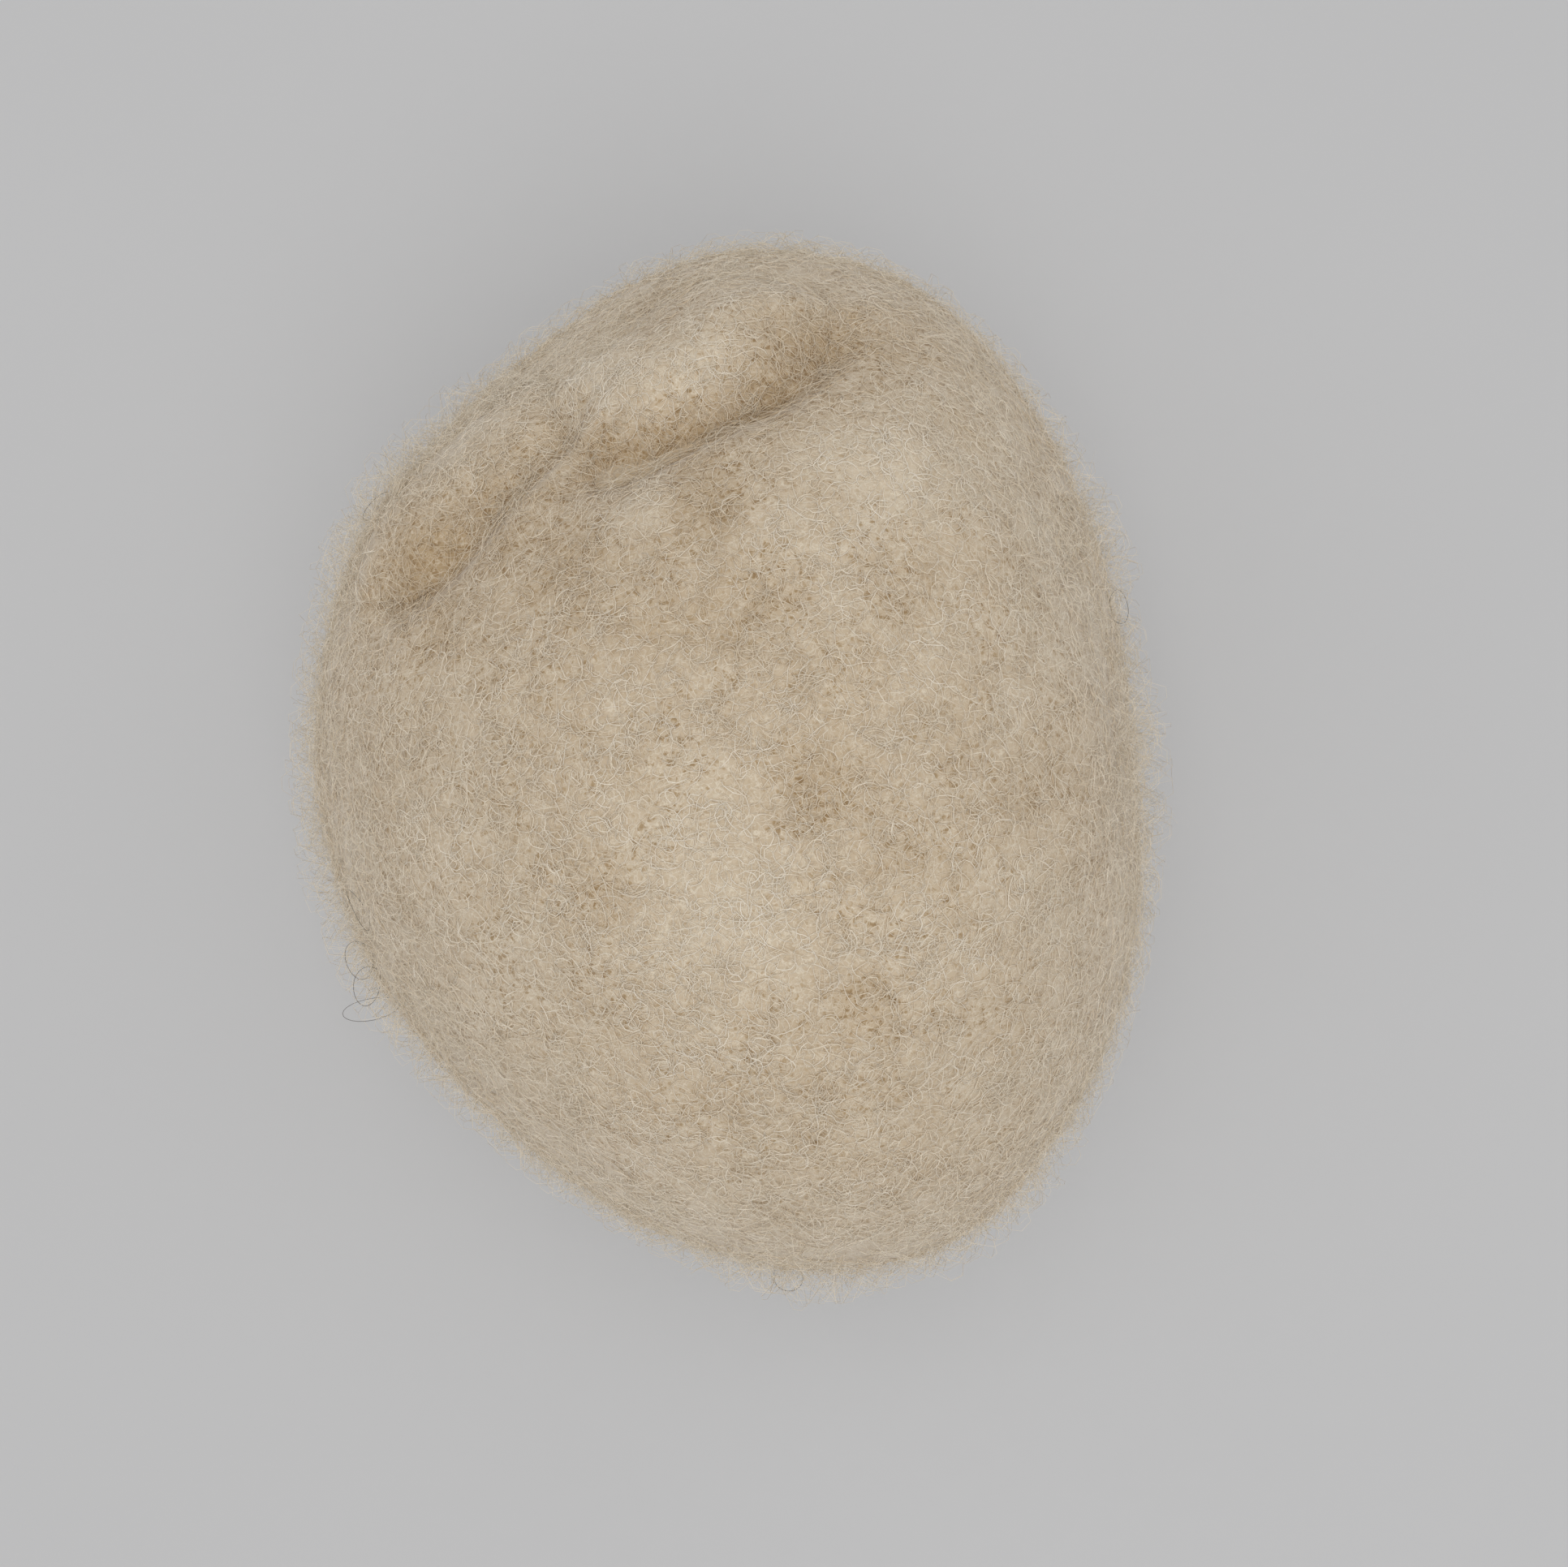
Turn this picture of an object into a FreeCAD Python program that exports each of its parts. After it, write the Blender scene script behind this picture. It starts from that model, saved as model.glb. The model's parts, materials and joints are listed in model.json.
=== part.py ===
"""A felted wool dryer ball, in millimetres: a rolled core, eight wraps of carded wool and two closing wisps.

+Z is up. The ball lies on its underside with its long axis along Y, and the origin is on the surface it
rests on, under its middle. A wrap is one strip of carded wool that goes once round everything inside it and
laps over itself, so it is a closed layer with a slanting slit where its two ends meet. Each wrap turns
across the one before it.
"""

import FreeCAD, Part
import math
import os
from FreeCAD import Vector

# --- The ball as it stands ---
BALL_LENGTH = 78.0  # along Y
BALL_WIDTH = 63.0  # along X
BALL_HEIGHT = 60.0  # from the surface it rests on to its crown
WAIST_HEIGHT = 28.5  # its widest section, a little below half way because the wool sags
REST_PATCH_RADIUS = 9.5  # about the size of the flat that its weight presses into the underside
CROWN_OFF_MIDDLE = Vector(3.5, -4.0, 0)  # where the highest point is, seen from above

# Fullness of the waist against an ellipse at every thirtieth degree, anticlockwise from +X.
# Tumbling leaves flats, where it is under 1, and shoulders, where it is over 1.
WAIST_FULLNESS = (0.93, 0.96, 1.11, 1.10, 0.91, 0.93, 0.90, 0.88, 0.88, 1.06, 1.18, 1.06)

# --- The wool, from the outside in ---
COVER_THICKNESS = 3.0  # the last two wraps
MIDDLE_THICKNESS = 2.4  # the three wraps under the cover
INNER_THICKNESS = 2.0  # the three wraps round the core
CORE_STRIP_THICKNESS = 3.0  # the strip that the core is rolled up from
LAP_GAP = 0.15  # the slit between the two ends of a wrap, and between the turns of the core
LAP_ANGLE = 35.0  # degrees between that slit and the wrap's inner face

# --- The closing wisps: two tufts laid over the cover's lap and felted only half down ---
WISP_LENGTH = 22.0  # along the crease below them
WISP_WIDTH = 13.5  # across the crease
WISP_DEPTH = 8.0  # how deep the whole tuft was before the cover's shape was taken from it
WISP_RISE = 1.8  # how far its middle stands above the cover
RIGHT_WISP_MIDDLE = Vector(-3.0, 27.5, 0)  # seen from above
LEFT_WISP_MIDDLE = Vector(-18.5, 19.5, 0)
RIGHT_CREASE_ANGLE = 21.0  # degrees from +X, seen from above
LEFT_CREASE_ANGLE = 38.0

LAYERS = (
    # name, thickness, the axis it is wound about, the way its slit points outwards
    ("cover_wrap_lengthwise", COVER_THICKNESS, Vector(-1, 0, 0), Vector(0, 0, 1)),
    ("cover_wrap_crosswise", COVER_THICKNESS, Vector(0, 1, 0), Vector(0, 0, -1)),
    ("middle_wrap_round_waist", MIDDLE_THICKNESS, Vector(0, 0, 1), Vector(1, 0, 0)),
    ("middle_wrap_lengthwise", MIDDLE_THICKNESS, Vector(1, 0, 0), Vector(0, 0, -1)),
    ("middle_wrap_crosswise", MIDDLE_THICKNESS, Vector(0, 1, 0), Vector(0, 0, 1)),
    ("inner_wrap_round_waist", INNER_THICKNESS, Vector(0, 0, 1), Vector(-1, 0, 0)),
    ("inner_wrap_lengthwise", INNER_THICKNESS, Vector(1, 0, 0), Vector(0, 0, 1)),
    ("inner_wrap_crosswise", INNER_THICKNESS, Vector(0, 1, 0), Vector(0, 0, -1)),
)
CORE_DEPTH = sum(thickness for _, thickness, _, _ in LAYERS)

# A cubic curve whose handles are this share of the radius follows a quarter circle to 0.03 percent.
QUARTER_HANDLE = 0.5523
# How far the rounded underside would reach below the flat that it rests on.
UNDERSIDE_SAG = BALL_WIDTH / 2 - math.sqrt((BALL_WIDTH / 2) ** 2 - REST_PATCH_RADIUS**2)
BELOW_WAIST = WAIST_HEIGHT + UNDERSIDE_SAG
ABOVE_WAIST = BALL_HEIGHT - WAIST_HEIGHT
SPAN = 2 * (BALL_LENGTH + BALL_WIDTH + BALL_HEIGHT)  # longer than the ball in any direction


def waist_poles(half_width, half_length, unevenness):
    """Control points of the waist, from an ellipse at an unevenness of 0 to the finished outline at 1."""
    poles = []
    for i, fullness in enumerate(WAIST_FULLNESS):
        angle = 2 * math.pi * i / len(WAIST_FULLNESS)
        share = 1 + (fullness - 1) * unevenness
        poles.append(Vector(half_width * math.cos(angle) * share, half_length * math.sin(angle) * share, 0))
    return poles


def waist_box(poles):
    """The box round the closed curve of these control points."""
    curve = Part.BSplineCurve()
    curve.buildFromPolesMultsKnots(
        poles,
        mults=[1] * (len(poles) + 1),
        knots=list(range(len(poles) + 1)),
        periodic=True,
        degree=3,
    )
    return curve.toShape().optimalBoundingBox(False)


def fitted_waist(depth, unevenness):
    """The waist's control points, centred and stretched so that the curve has its true width and length."""
    half_width = BALL_WIDTH / 2 - depth
    half_length = BALL_LENGTH / 2 - depth
    poles = waist_poles(half_width, half_length, unevenness)
    box = waist_box(poles)
    return [
        Vector(
            (pole.x - box.Center.x) * 2 * half_width / box.XLength,
            (pole.y - box.Center.y) * 2 * half_length / box.YLength,
            0,
        )
        for pole in poles
    ]


def ovoid(depth):
    """Everything that lies deeper than this in the ball. The deeper it is, the more even its shape."""
    unevenness = 1 - depth / CORE_DEPTH
    below = BELOW_WAIST - depth
    above = ABOVE_WAIST - depth
    # Each row, from the underside to the crown: its share of the waist, its height and its share of the lean.
    rows = (
        (0, -below, 0),
        (QUARTER_HANDLE, -below, 0),
        (1, -below * QUARTER_HANDLE, 0),
        (1, above * QUARTER_HANDLE, 0),
        (QUARTER_HANDLE, above, 1),
        (0, above, 1),
    )
    poles = [
        [
            pole * share + CROWN_OFF_MIDDLE * lean * unevenness + Vector(0, 0, WAIST_HEIGHT + height)
            for share, height, lean in rows
        ]
        for pole in fitted_waist(depth, unevenness)
    ]
    surface = Part.BSplineSurface()
    surface.buildFromPolesMultsKnots(
        poles,
        [1] * (len(poles) + 1),
        [4, 2, 4],
        list(range(len(poles) + 1)),
        [-below, 0, above],
        True,
        False,
        3,
        3,
    )
    surface.setUNotPeriodic()
    half_way = len(poles) // 2
    halves = []
    for first, last in ((0, half_way), (half_way, len(poles))):
        half = surface.copy()
        half.segment(first, last, -below, above)
        halves.append(half.toShape())
    shell = Part.Shell(halves)
    shell.sewShape()
    solid = Part.Solid(shell)
    if solid.Volume < 0:
        solid.reverse()
    return solid


def above_rest_plane(shape):
    """What of a shape is above the surface that the ball rests on."""
    return shape.common(Part.makeBox(SPAN, SPAN, SPAN, Vector(-SPAN / 2, -SPAN / 2, 0)))


def half_size(depth, direction):
    """How far everything deeper than this reaches from the ball's middle along an axis, either way."""
    height = (BELOW_WAIST + ABOVE_WAIST) / 2
    size = Vector(BALL_WIDTH / 2 - depth, BALL_LENGTH / 2 - depth, height - depth)
    return abs(size.dot(direction))


def lap_slit(inner_depth, axis, outwards):
    """The thin flat gap between the two ends of a wrap. It leaves the inner face at the lap angle."""
    sideways = axis.cross(outwards)
    reach = half_size(inner_depth, sideways)
    rise = half_size(inner_depth, outwards) * math.tan(math.radians(LAP_ANGLE))
    offset = reach * math.cos(math.atan2(rise, reach))
    start = Vector(0, 0, WAIST_HEIGHT) + sideways * offset - axis * (SPAN / 2)
    edge = Part.makeLine(start, start + outwards * SPAN)
    return edge.extrude(axis * SPAN).extrude(sideways * LAP_GAP)


def wrap(depth, thickness, axis, outwards):
    """One strip of wool round everything that lies deeper."""
    layer = above_rest_plane(ovoid(depth)).cut(ovoid(depth + thickness))
    return layer.cut(lap_slit(depth + thickness, axis, outwards))


def spiral_edges(middle, half_turns, extra_radius):
    """A flat spiral of half circles, widening by half a strip each, and a straight tail off its end."""
    edges = []
    for i in range(half_turns):
        way = 1 if i % 2 == 0 else -1
        centre = middle - Vector(way * CORE_STRIP_THICKNESS / 4, 0, 0)
        radius = (i + 1) * CORE_STRIP_THICKNESS / 2 + extra_radius
        right = centre + Vector(radius, 0, 0)
        left = centre - Vector(radius, 0, 0)
        edges.append(Part.Arc(right, centre + Vector(0, 0, way * radius), left).toShape())
        end = left if way > 0 else right
    edges.append(Part.makeLine(end, end - Vector(0, 0, way * SPAN)))
    return edges


def core_roll():
    """The innermost piece: a strip rolled up along Y, so its middle has a spiral slit."""
    core = ovoid(CORE_DEPTH)
    box = core.optimalBoundingBox(False)
    reach = min(box.XLength, box.ZLength) / 2
    half_turns = max(1, int(2 * (reach - CORE_STRIP_THICKNESS) / CORE_STRIP_THICKNESS))
    middle = Vector(box.Center.x, -SPAN / 2, box.Center.z)
    near = spiral_edges(middle, half_turns, 0)
    far = spiral_edges(middle, half_turns, LAP_GAP)
    start = middle + Vector(CORE_STRIP_THICKNESS / 4, 0, 0)
    caps = [
        Part.makeLine(start, start + Vector(LAP_GAP, 0, 0)),
        Part.makeLine(near[-1].Vertexes[-1].Point, far[-1].Vertexes[-1].Point),
    ]
    outline = Part.Wire(Part.sortEdges(near + far + caps)[0])
    return core.cut(Part.Face(outline).extrude(Vector(0, SPAN, 0)))


def tuft(ball, middle, crease_angle):
    """A flattened tuft whose middle stands a little above the ball's surface."""
    plumb_line = Part.makeLine(middle + Vector(0, 0, WAIST_HEIGHT), middle + Vector(0, 0, SPAN))
    face = min(ball.Faces, key=plumb_line.distToShape)
    on_surface = plumb_line.distToShape(face)[1][0][1]
    outwards = face.normalAt(*face.Surface.parameter(on_surface))
    if outwards.z < 0:
        outwards = -outwards
    angle = math.radians(crease_angle)
    crease = Vector(math.cos(angle), math.sin(angle), 0)
    across = outwards.cross(crease).normalize()
    along = across.cross(outwards)
    centre = on_surface - outwards * (WISP_DEPTH / 2 - WISP_RISE)
    stretch = FreeCAD.Matrix()
    stretch.scale(WISP_LENGTH / 2, WISP_WIDTH / 2, WISP_DEPTH / 2)
    place = FreeCAD.Matrix(
        along.x, across.x, outwards.x, centre.x,
        along.y, across.y, outwards.y, centre.y,
        along.z, across.z, outwards.z, centre.z,
        0, 0, 0, 1,
    )
    return Part.makeSphere(1).transformGeometry(stretch).transformGeometry(place)


def export(name, shape):
    """Write one node as a STEP file and print its size."""
    solids = shape.Solids
    box = shape.optimalBoundingBox(False)
    print(
        f"{name}: {len(solids)} solid, valid {shape.isValid()}, {shape.Volume / 1000:.2f} cm3,"
        f" {box.XLength:.2f} x {box.YLength:.2f} x {box.ZLength:.2f}, z {box.ZMin:.3f} to {box.ZMax:.3f}"
    )
    solids[0].exportStep(os.path.join("parts", name + ".step"))


os.makedirs("parts", exist_ok=True)

layer_depth = 0.0
for layer_name, layer_thickness, layer_axis, layer_outwards in LAYERS:
    export(layer_name, wrap(layer_depth, layer_thickness, layer_axis, layer_outwards))
    layer_depth += layer_thickness
export("core_roll", core_roll())

whole_ball = ovoid(0)
left_wisp = tuft(whole_ball, LEFT_WISP_MIDDLE, LEFT_CREASE_ANGLE)
right_wisp = tuft(whole_ball, RIGHT_WISP_MIDDLE, RIGHT_CREASE_ANGLE)
export("closing_wisp_left", left_wisp.cut(whole_ball))
export("closing_wisp_right", right_wisp.cut(whole_ball).cut(left_wisp))
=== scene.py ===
import json
import math
import random

import bmesh
import bpy
from mathutils import Matrix, Vector, noise
from mathutils.bvhtree import BVHTree


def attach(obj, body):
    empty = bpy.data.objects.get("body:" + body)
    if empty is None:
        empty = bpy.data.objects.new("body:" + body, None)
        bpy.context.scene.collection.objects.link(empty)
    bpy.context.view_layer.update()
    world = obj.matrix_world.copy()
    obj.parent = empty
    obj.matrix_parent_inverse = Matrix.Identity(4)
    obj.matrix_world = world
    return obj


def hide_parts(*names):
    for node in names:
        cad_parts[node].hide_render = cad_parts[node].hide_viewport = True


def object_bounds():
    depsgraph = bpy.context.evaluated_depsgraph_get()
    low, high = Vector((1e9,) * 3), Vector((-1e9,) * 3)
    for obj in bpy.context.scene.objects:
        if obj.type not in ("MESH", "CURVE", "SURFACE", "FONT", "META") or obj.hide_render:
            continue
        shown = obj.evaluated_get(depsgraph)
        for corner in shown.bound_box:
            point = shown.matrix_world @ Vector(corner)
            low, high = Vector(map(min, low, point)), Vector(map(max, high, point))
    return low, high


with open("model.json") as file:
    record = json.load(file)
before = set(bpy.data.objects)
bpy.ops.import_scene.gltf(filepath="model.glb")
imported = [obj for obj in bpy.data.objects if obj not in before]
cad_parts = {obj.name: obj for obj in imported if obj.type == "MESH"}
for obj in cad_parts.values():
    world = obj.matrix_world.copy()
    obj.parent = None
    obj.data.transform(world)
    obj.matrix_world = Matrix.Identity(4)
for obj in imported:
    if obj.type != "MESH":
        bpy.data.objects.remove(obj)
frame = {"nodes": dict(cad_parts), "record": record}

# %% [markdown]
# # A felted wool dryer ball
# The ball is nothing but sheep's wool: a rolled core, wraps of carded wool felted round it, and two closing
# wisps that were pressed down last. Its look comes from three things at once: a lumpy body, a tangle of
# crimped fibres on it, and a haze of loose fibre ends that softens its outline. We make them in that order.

MM = 0.001
cad_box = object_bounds()
ball_low, ball_high = Vector(cad_box[0]), Vector(cad_box[1])
ball_size = ball_high - ball_low
ball_middle = (ball_low + ball_high) / 2
print("ball", [round(side / MM, 1) for side in ball_size], "mm")

# %% [markdown]
# ## Copies of the designed shapes
# The cover and the wisps are smooth closed solids in the design. A copy of such a solid is loose triangles,
# so its doubles are merged first. A search tree over the copies answers "where is the outermost wool on this
# line?", which is all that the lumpy body and the fibres need to know about the design.

# %% Reading a designed node
def copy_of_node(name):
    """A bmesh of a designed node, in the row frame, with its loose triangles joined up."""
    node = frame["nodes"][name]
    copy = bmesh.new()
    copy.from_mesh(node.data)
    copy.transform(node.matrix_world)
    bmesh.ops.remove_doubles(copy, verts=copy.verts, dist=0.001 * MM)
    return copy


cover_design = copy_of_node("cover_wrap_lengthwise")
cover_tree = BVHTree.FromBMesh(cover_design)
cover_design.free()

# %% [markdown]
# ## The crease
# Below the two wisps the cover dips into a crease, the deepest line on the ball. It could be cut with a
# boolean, but felt has no sharp edges. So the crease is a soft groove instead: each point of the cover is
# pushed in by an amount that falls off with its distance from the wisps' lower edges.

# %% Where the wisps lie
class Wisp:
    """The middle of a wisp and the directions along and across it, from the designed node's own shape."""

    def __init__(self, node_name, crease_share):
        self.crease_share = crease_share
        design = copy_of_node(node_name)
        points = [vert.co.copy() for vert in design.verts]
        design.free()
        self.middle = sum(points, Vector()) / len(points)
        self.outwards = cover_tree.find_nearest(self.middle)[1]
        if self.outwards.z < 0:
            self.outwards.negate()
        far = max(points, key=lambda point: (point - self.middle).length)
        along = far - self.middle
        along -= self.outwards * along.dot(self.outwards)
        self.along = along.normalized() * (1 if along.x > 0 else -1)
        self.across = self.outwards.cross(self.along)
        self.half_length = self.centred_on(points, self.along)
        self.half_width = self.centred_on(points, self.across)

    def centred_on(self, points, direction):
        """Puts the middle half way between the wisp's ends in one direction, and gives the half size."""
        places = [(point - self.middle).dot(direction) for point in points]
        self.middle += direction * (min(places) + max(places)) / 2
        return (max(places) - min(places)) / 2

    def place(self, point):
        """A point's place on the wisp, as shares of its half length and its half width."""
        offset = point - self.middle
        return offset.dot(self.along) / self.half_length, offset.dot(self.across) / self.half_width


wisps = [Wisp("closing_wisp_left", crease_share=0.55), Wisp("closing_wisp_right", crease_share=1.0)]
for wisp in wisps:
    print("wisp half size", round(wisp.half_length / MM, 1), round(wisp.half_width / MM, 1), "mm")
    print("wisp middle", [round(side / MM, 1) for side in wisp.middle], "outwards", wisp.outwards)

# %% How deep the crease is at a point
CREASE_DEPTH = 1.5 * MM
CREASE_REACH = 0.22  # as a share of the wisp's half size
VALLEY_DEPTH = 0.9 * MM  # the wider, shallower dip on either side of the crease
VALLEY_REACH = 0.6
CREASE_PLACE = 1.05  # just outside the wisp's edge
LOWER_EDGE_START = 0.15  # the crease begins this far below the wisp's long axis, as a share of the way out
LOWER_EDGE_SPAN = 0.5  # and is at its full depth this much farther down
RAGGEDNESS = 0.16
RAGGED_DETAIL = 1.7
SAME_SIDE = 15 * MM  # felt farther than this below a wisp is on the other side of the ball


def ragged_edge(wisp, along, across):
    """How far out the wisp's edge is in this direction, against a plain ellipse at 1."""
    direction = Vector((along, across, 0)).normalized()
    return 1 + RAGGEDNESS * noise.noise(RAGGED_DETAIL * direction + Vector((0, 0, wisp.middle.x / MM)))


def crease_depth(point):
    """The groove runs along each wisp's lower edge and dies out round its ends."""
    deepest = 0.0
    for wisp in wisps:
        if (point - wisp.middle).dot(wisp.outwards) < -SAME_SIDE:
            continue
        along, across = wisp.place(point)
        out = math.hypot(along, across)
        downwards = -across / max(out, 0.01)
        facing_down = min(1.0, max(0.0, (downwards - LOWER_EDGE_START) / LOWER_EDGE_SPAN))
        beside = out / ragged_edge(wisp, along, across) - CREASE_PLACE
        groove = CREASE_DEPTH * math.exp(-((beside / CREASE_REACH) ** 2))
        valley = VALLEY_DEPTH * math.exp(-((beside / VALLEY_REACH) ** 2))
        deepest = max(deepest, (groove + valley) * facing_down * wisp.crease_share)
    return deepest


# %% [markdown]
# ## Matted and fluffy places
# Where the wool was rubbed or folded it is matted: tan, a little sunken and with few loose fibres. Between
# those places it is fluffy and cream. Noise alone would spread them evenly, but on a real ball the matted
# ones gather round the crease. So the largest are named here, as places on the crown seen from above, and
# every later step asks matted_at() how matted the wool is at a point.

# %% Where the wool is matted
PLACES = (
    # x, y and radius in mm from the ball's middle, and how matted it is: below 0 it is fluffier
    (-18.8, 12.2, 4.5, 0.9),
    (-13.0, 16.0, 4.0, 0.5),
    (-6.8, 19.2, 2.8, 0.9),
    (-1.5, 19.8, 3.0, 0.9),
    (3.6, 23.0, 3.0, 0.6),
    (-0.3, 15.7, 2.6, 0.7),
    (-4.0, 30.4, 3.6, 0.8),
    (8.0, 27.5, 4.5, 0.5),
    (-9.0, 12.0, 3.5, 0.5),
    (6.3, -2.7, 2.8, 0.6),
    (-0.7, 7.8, 1.8, 0.4),
    (4.3, 9.3, 2.4, 0.5),
    (11.9, 10.5, 2.6, 0.5),
    (9.3, -15.3, 2.2, 0.6),
    (-6.2, -8.2, 2.4, 0.5),
    (-1.0, 24.7, 4.0, -0.8),
    (-8.5, 26.0, 3.5, -0.5),
    (-4.5, 16.2, 2.8, -0.7),
    (-16.0, 20.0, 4.0, -0.4),
    (1.3, -8.7, 7.0, -0.6),
    (10.6, 19.3, 5.0, -0.5),
)
PLACE_RAGGEDNESS = 0.35
PLACE_EDGE_WIDTH = 2.5 * MM
CREASE_SHADE = 0.5  # painted shade at the bottom of the crease, carried in the matted value


def matted_at(point):
    """From -1 where the wool is fluffy to 1 where it is matted."""
    total = 0.0
    if point.z > ball_middle.z:
        for x, y, radius, amount in PLACES:
            away = math.hypot(point.x - ball_middle.x - x * MM, point.y - ball_middle.y - y * MM)
            away *= 1 + PLACE_RAGGEDNESS * noise.noise(point / PLACE_EDGE_WIDTH)
            total += amount * math.exp(-((away / (radius * MM)) ** 2))
    return max(-1.0, min(1.0, total))


def matted_and_crease_shade_at(point):
    """The same, with painted shade added in the crease."""
    return matted_at(point) + CREASE_SHADE * crease_depth(point) / CREASE_DEPTH


# %% [markdown]
# ## The lumpy body
# Felting shrinks the wool unevenly, so the body has shallow lumps as wide as a thumb, smaller ones as wide
# as a pea, and pits between the fibre clumps. A round sphere of even triangles is shrunk on to the designed
# cover by casting a ray at each point, then moved in and out by noise of those three sizes. The clump value
# is kept on the mesh, because the felt is painted darker there, as shade in the pits, and has fewer fibres
# where it is low.

# %% The noise that shapes the felt
LUMPS = ((15 * MM, 0.6 * MM), (6 * MM, 0.16 * MM))  # how wide and how high
CLUMP_WIDTH = 1.3 * MM
CLUMP_PATCHES = 4 * CLUMP_WIDTH  # the wider patches in which the clumps stand high or low
CLUMP_START, FINE_CLUMPS, WIDE_CLUMPS = 0.6, 0.4, 0.7  # a middling clump, and how much each noise moves it
PIT_DEPTH = 0.13 * MM
MATTED_DIP = 0.5 * MM


def clump_at(point):
    """From 0 in a pit to 1 on a fluffy clump."""
    wide = noise.noise(point / CLUMP_PATCHES + Vector((7.3, 1.9, 4.4)))
    fine = noise.fractal(point / CLUMP_WIDTH, 0.6, 2.2, 2)
    return min(1.0, max(0.0, CLUMP_START + FINE_CLUMPS * fine + WIDE_CLUMPS * wide))


def lump_height(point):
    """How far the felt stands out of the designed surface here."""
    height = 0.0
    for width, rise in LUMPS:
        height += rise * noise.noise(point / width + Vector((width / MM, 0, 0)))
    return height - PIT_DEPTH * (1 - clump_at(point))


# %% Shaping the cover
SPHERE_STEPS = 7
REST_MARGIN = 1.2 * MM  # how soon above the rest plane the lumps fade out
COVER_SMOOTHING = 0.3


def outermost(direction):
    """The point of the designed cover farthest out along a direction from the ball's middle."""
    start = ball_middle + direction * ball_size.length
    return cover_tree.ray_cast(start, -direction)[0]


def smoothed(shape, share):
    """Evens out the finest lumps, so that no face is creased."""
    bmesh.ops.smooth_vert(
        shape, verts=shape.verts, factor=share, use_axis_x=True, use_axis_y=True, use_axis_z=True
    )


body = bmesh.new()
bmesh.ops.create_icosphere(body, subdivisions=SPHERE_STEPS, radius=1.0)
clump_layer = body.verts.layers.float.new("clump")
matted_and_crease_shade_layer = body.verts.layers.float.new("matted")
for vert in body.verts:
    direction = vert.co.normalized()
    point = outermost(direction)
    outwards = Vector([way / side for way, side in zip(direction, ball_size)]).normalized()
    free = min(1.0, (point.z - ball_low.z) / REST_MARGIN)
    crease = crease_depth(point)
    matted = matted_at(point)
    dip = crease + MATTED_DIP * matted
    vert[clump_layer] = clump_at(point)
    # the matted value also carries painted shade in the crease
    vert[matted_and_crease_shade_layer] = matted + CREASE_SHADE * crease / CREASE_DEPTH
    vert.co = point + outwards * free * (lump_height(point) - dip)
    vert.co.z = max(vert.co.z, ball_low.z)
smoothed(body, COVER_SMOOTHING)
print("cover", len(body.faces), "faces")


# %% Making an object from a bmesh
def finished_piece(name, shape):
    """A shown object with its place in its mesh and smooth shading."""
    mesh = bpy.data.meshes.new(name)
    for face in shape.faces:
        face.smooth = True
    shape.to_mesh(mesh)
    shape.free()
    piece = bpy.data.objects.new(name, mesh)
    bpy.context.scene.collection.objects.link(piece)
    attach(piece, "root")
    return piece


felted_cover = finished_piece("felted_cover", body)
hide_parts("cover_wrap_lengthwise")

# %% [markdown]
# ## The closing wisps
# A wisp is a tuft of loose wool laid on the cover. Its near edge stands plump above the crease, and its far
# edge is felted away into the cover. A copy of the designed tuft would have thin sharp edges, so each tuft
# starts as a sphere that is flattened and laid on the felt like dough: every point keeps its place across
# the tuft and takes its height from the felt below it. Then a cloth simulation blows it up a little from
# inside, as springy wool does, while its underside stays pinned to the felt. Cloth is tuned for things as
# big as a cushion, so the tuft is simulated at twenty times its size.

# %% Laying a tuft on the felt
TUFT_STEPS = 6
TUFT_UNDERLAP = 0.15 * MM  # how far its underside is matted into the cover
TUFT_ROUNDNESS = 1.5  # above 1 its edges run out thin into the felt
THINNING = 0.7  # how fast it loses height from the crease to its far edge
THINNING_START = -0.7  # where along its width that begins, from -1 at the crease to 1 at the far edge
THINNING_POWER = 1.3


def tree_of(*pieces):
    """A search tree over the meshes of several pieces."""
    points = []
    faces = []
    for piece in pieces:
        first = len(points)
        points.extend(vert.co.copy() for vert in piece.data.vertices)
        for polygon in piece.data.polygons:
            faces.append(tuple(first + corner for corner in polygon.vertices))
    return BVHTree.FromPolygons(points, faces)


body_tree = tree_of(felted_cover)
UNDERSIDE = "matted underside"


def laid_tuft(wisp, rise, name):
    """A flattened sphere that follows the cover, highest near the crease and thin at its edges."""
    shape = bmesh.new()
    bmesh.ops.create_icosphere(shape, subdivisions=TUFT_STEPS, radius=1.0)
    underside = []
    for vert in shape.verts:
        along, across, height = vert.co
        edge = ragged_edge(wisp, along, across)
        sideways = wisp.along * along * wisp.half_length * edge
        sideways += wisp.across * across * wisp.half_width * edge
        above = wisp.middle + sideways + wisp.outwards * ball_size.z / 4
        below, _, _, _ = body_tree.ray_cast(above, -wisp.outwards)
        far_share = min(1.0, max(0.0, 0.5 * (across - THINNING_START)))
        plump = 1 - THINNING * far_share**THINNING_POWER
        lift = rise * plump * height**TUFT_ROUNDNESS if height > 0 else TUFT_UNDERLAP * height
        vert.co = below + wisp.outwards * lift
        if height < 0:
            underside.append(vert.index)
    bmesh.ops.recalc_face_normals(shape, faces=shape.faces)
    tuft = finished_piece(name, shape)
    tuft.vertex_groups.new(name=UNDERSIDE).add(underside, 1.0, "REPLACE")
    return tuft


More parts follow.
